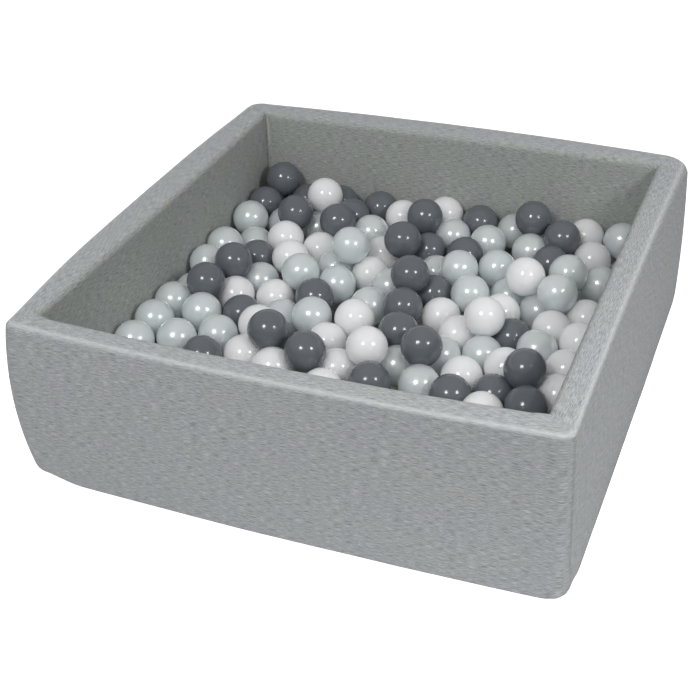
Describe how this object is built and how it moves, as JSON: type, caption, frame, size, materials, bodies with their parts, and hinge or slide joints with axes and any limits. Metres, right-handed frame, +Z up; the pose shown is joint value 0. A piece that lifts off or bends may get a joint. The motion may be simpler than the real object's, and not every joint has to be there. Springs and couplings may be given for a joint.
{
  "type": "ball pit",
  "caption": "Square soft ball pit: foam walls and floor in a zipped grey melange jersey cover, filled with loose dark grey, white and pearl play balls.",
  "frame": {"origin": "centre of the underside, on the floor that the pit stands on", "axes": "+Z up, front wall toward -Y, +X to the right as the front wall is faced"},
  "size_m": [0.912, 0.912, 0.3],
  "materials": {
    "jersey": "matte",
    "foam": "matte",
    "zip_tape": "matte",
    "zip_metal": "satin",
    "ball_dark": "gloss",
    "ball_white": "gloss",
    "ball_pearl": "satin"
  },
  "bodies": {
    "pit": {"foam_wall_front": "foam", "foam_wall_right": "foam", "foam_wall_back": "foam", "foam_wall_left": "foam", "foam_floor": "foam", "cover_front": "jersey", "cover_right": "jersey", "cover_back": "jersey", "cover_left": "jersey", "cover_floor": "jersey", "cover_base": "jersey", "zip_tape_front": "zip_tape", "zip_tape_back": "zip_tape", "zip_stop_left": "zip_metal", "zip_stop_right": "zip_metal", "ball_bed": "ball_pearl"},
    "slider": {"zip_slider": "zip_metal"},
    "pull": {"zip_pull": "zip_metal"},
    "dark_ball_01": {"dark_ball_01": "ball_dark"},
    "dark_ball_02": {"dark_ball_02": "ball_dark"},
    "dark_ball_03": {"dark_ball_03": "ball_dark"},
    "dark_ball_04": {"dark_ball_04": "ball_dark"},
    "dark_ball_05": {"dark_ball_05": "ball_dark"},
    "dark_ball_06": {"dark_ball_06": "ball_dark"},
    "dark_ball_07": {"dark_ball_07": "ball_dark"},
    "dark_ball_08": {"dark_ball_08": "ball_dark"},
    "dark_ball_09": {"dark_ball_09": "ball_dark"},
    "dark_ball_10": {"dark_ball_10": "ball_dark"},
    "dark_ball_11": {"dark_ball_11": "ball_dark"},
    "dark_ball_12": {"dark_ball_12": "ball_dark"},
    "dark_ball_13": {"dark_ball_13": "ball_dark"},
    "dark_ball_14": {"dark_ball_14": "ball_dark"},
    "dark_ball_15": {"dark_ball_15": "ball_dark"},
    "dark_ball_16": {"dark_ball_16": "ball_dark"},
    "dark_ball_17": {"dark_ball_17": "ball_dark"},
    "white_ball_01": {"white_ball_01": "ball_white"},
    "white_ball_02": {"white_ball_02": "ball_white"},
    "white_ball_03": {"white_ball_03": "ball_white"},
    "white_ball_04": {"white_ball_04": "ball_white"},
    "white_ball_05": {"white_ball_05": "ball_white"},
    "pearl_ball_01": {"pearl_ball_01": "ball_pearl"},
    "pearl_ball_02": {"pearl_ball_02": "ball_pearl"},
    "pearl_ball_03": {"pearl_ball_03": "ball_pearl"},
    "pearl_ball_04": {"pearl_ball_04": "ball_pearl"},
    "pearl_ball_05": {"pearl_ball_05": "ball_pearl"},
    "pearl_ball_06": {"pearl_ball_06": "ball_pearl"}
  },
  "joints": [
    {"name": "zip_slide", "type": "slide", "parent": "pit", "child": "slider", "axis": [-1, 0, 0], "range_m": [0, 0.621]},
    {"name": "pull_hinge", "type": "hinge", "parent": "slider", "child": "pull", "pos_m": [0.3107, 0.35, 0.0018], "axis": [0, -1, 0], "range_deg": [0, 180]},
    {"name": "dark_ball_01_lift", "type": "slide", "parent": "pit", "child": "dark_ball_01", "axis": [0, 0, 1], "range_m": [0, 0.25]},
    {"name": "dark_ball_02_lift", "type": "slide", "parent": "pit", "child": "dark_ball_02", "axis": [0, 0, 1], "range_m": [0, 0.25]},
    {"name": "dark_ball_03_lift", "type": "slide", "parent": "pit", "child": "dark_ball_03", "axis": [0, 0, 1], "range_m": [0, 0.25]},
    {"name": "dark_ball_04_lift", "type": "slide", "parent": "pit", "child": "dark_ball_04", "axis": [0, 0, 1], "range_m": [0, 0.25]},
    {"name": "dark_ball_05_lift", "type": "slide", "parent": "pit", "child": "dark_ball_05", "axis": [0, 0, 1], "range_m": [0, 0.25]},
    {"name": "dark_ball_06_lift", "type": "slide", "parent": "pit", "child": "dark_ball_06", "axis": [0, 0, 1], "range_m": [0, 0.25]},
    {"name": "dark_ball_07_lift", "type": "slide", "parent": "pit", "child": "dark_ball_07", "axis": [0, 0, 1], "range_m": [0, 0.25]},
    {"name": "dark_ball_08_lift", "type": "slide", "parent": "pit", "child": "dark_ball_08", "axis": [0, 0, 1], "range_m": [0, 0.25]},
    {"name": "dark_ball_09_lift", "type": "slide", "parent": "pit", "child": "dark_ball_09", "axis": [0, 0, 1], "range_m": [0, 0.25]},
    {"name": "dark_ball_10_lift", "type": "slide", "parent": "pit", "child": "dark_ball_10", "axis": [0, 0, 1], "range_m": [0, 0.25]},
    {"name": "dark_ball_11_lift", "type": "slide", "parent": "pit", "child": "dark_ball_11", "axis": [0, 0, 1], "range_m": [0, 0.25]},
    {"name": "dark_ball_12_lift", "type": "slide", "parent": "pit", "child": "dark_ball_12", "axis": [0, 0, 1], "range_m": [0, 0.25]},
    {"name": "dark_ball_13_lift", "type": "slide", "parent": "pit", "child": "dark_ball_13", "axis": [0, 0, 1], "range_m": [0, 0.25]},
    {"name": "dark_ball_14_lift", "type": "slide", "parent": "pit", "child": "dark_ball_14", "axis": [0, 0, 1], "range_m": [0, 0.25]},
    {"name": "dark_ball_15_lift", "type": "slide", "parent": "pit", "child": "dark_ball_15", "axis": [0, 0, 1], "range_m": [0, 0.25]},
    {"name": "dark_ball_16_lift", "type": "slide", "parent": "pit", "child": "dark_ball_16", "axis": [0, 0, 1], "range_m": [0, 0.25]},
    {"name": "dark_ball_17_lift", "type": "slide", "parent": "pit", "child": "dark_ball_17", "axis": [0, 0, 1], "range_m": [0, 0.25]},
    {"name": "white_ball_01_lift", "type": "slide", "parent": "pit", "child": "white_ball_01", "axis": [0, 0, 1], "range_m": [0, 0.25]},
    {"name": "white_ball_02_lift", "type": "slide", "parent": "pit", "child": "white_ball_02", "axis": [0, 0, 1], "range_m": [0, 0.25]},
    {"name": "white_ball_03_lift", "type": "slide", "parent": "pit", "child": "white_ball_03", "axis": [0, 0, 1], "range_m": [0, 0.25]},
    {"name": "white_ball_04_lift", "type": "slide", "parent": "pit", "child": "white_ball_04", "axis": [0, 0, 1], "range_m": [0, 0.25]},
    {"name": "white_ball_05_lift", "type": "slide", "parent": "pit", "child": "white_ball_05", "axis": [0, 0, 1], "range_m": [0, 0.25]},
    {"name": "pearl_ball_01_lift", "type": "slide", "parent": "pit", "child": "pearl_ball_01", "axis": [0, 0, 1], "range_m": [0, 0.25]},
    {"name": "pearl_ball_02_lift", "type": "slide", "parent": "pit", "child": "pearl_ball_02", "axis": [0, 0, 1], "range_m": [0, 0.25]},
    {"name": "pearl_ball_03_lift", "type": "slide", "parent": "pit", "child": "pearl_ball_03", "axis": [0, 0, 1], "range_m": [0, 0.25]},
    {"name": "pearl_ball_04_lift", "type": "slide", "parent": "pit", "child": "pearl_ball_04", "axis": [0, 0, 1], "range_m": [0, 0.25]},
    {"name": "pearl_ball_05_lift", "type": "slide", "parent": "pit", "child": "pearl_ball_05", "axis": [0, 0, 1], "range_m": [0, 0.25]},
    {"name": "pearl_ball_06_lift", "type": "slide", "parent": "pit", "child": "pearl_ball_06", "axis": [0, 0, 1], "range_m": [0, 0.25]}
  ]
}
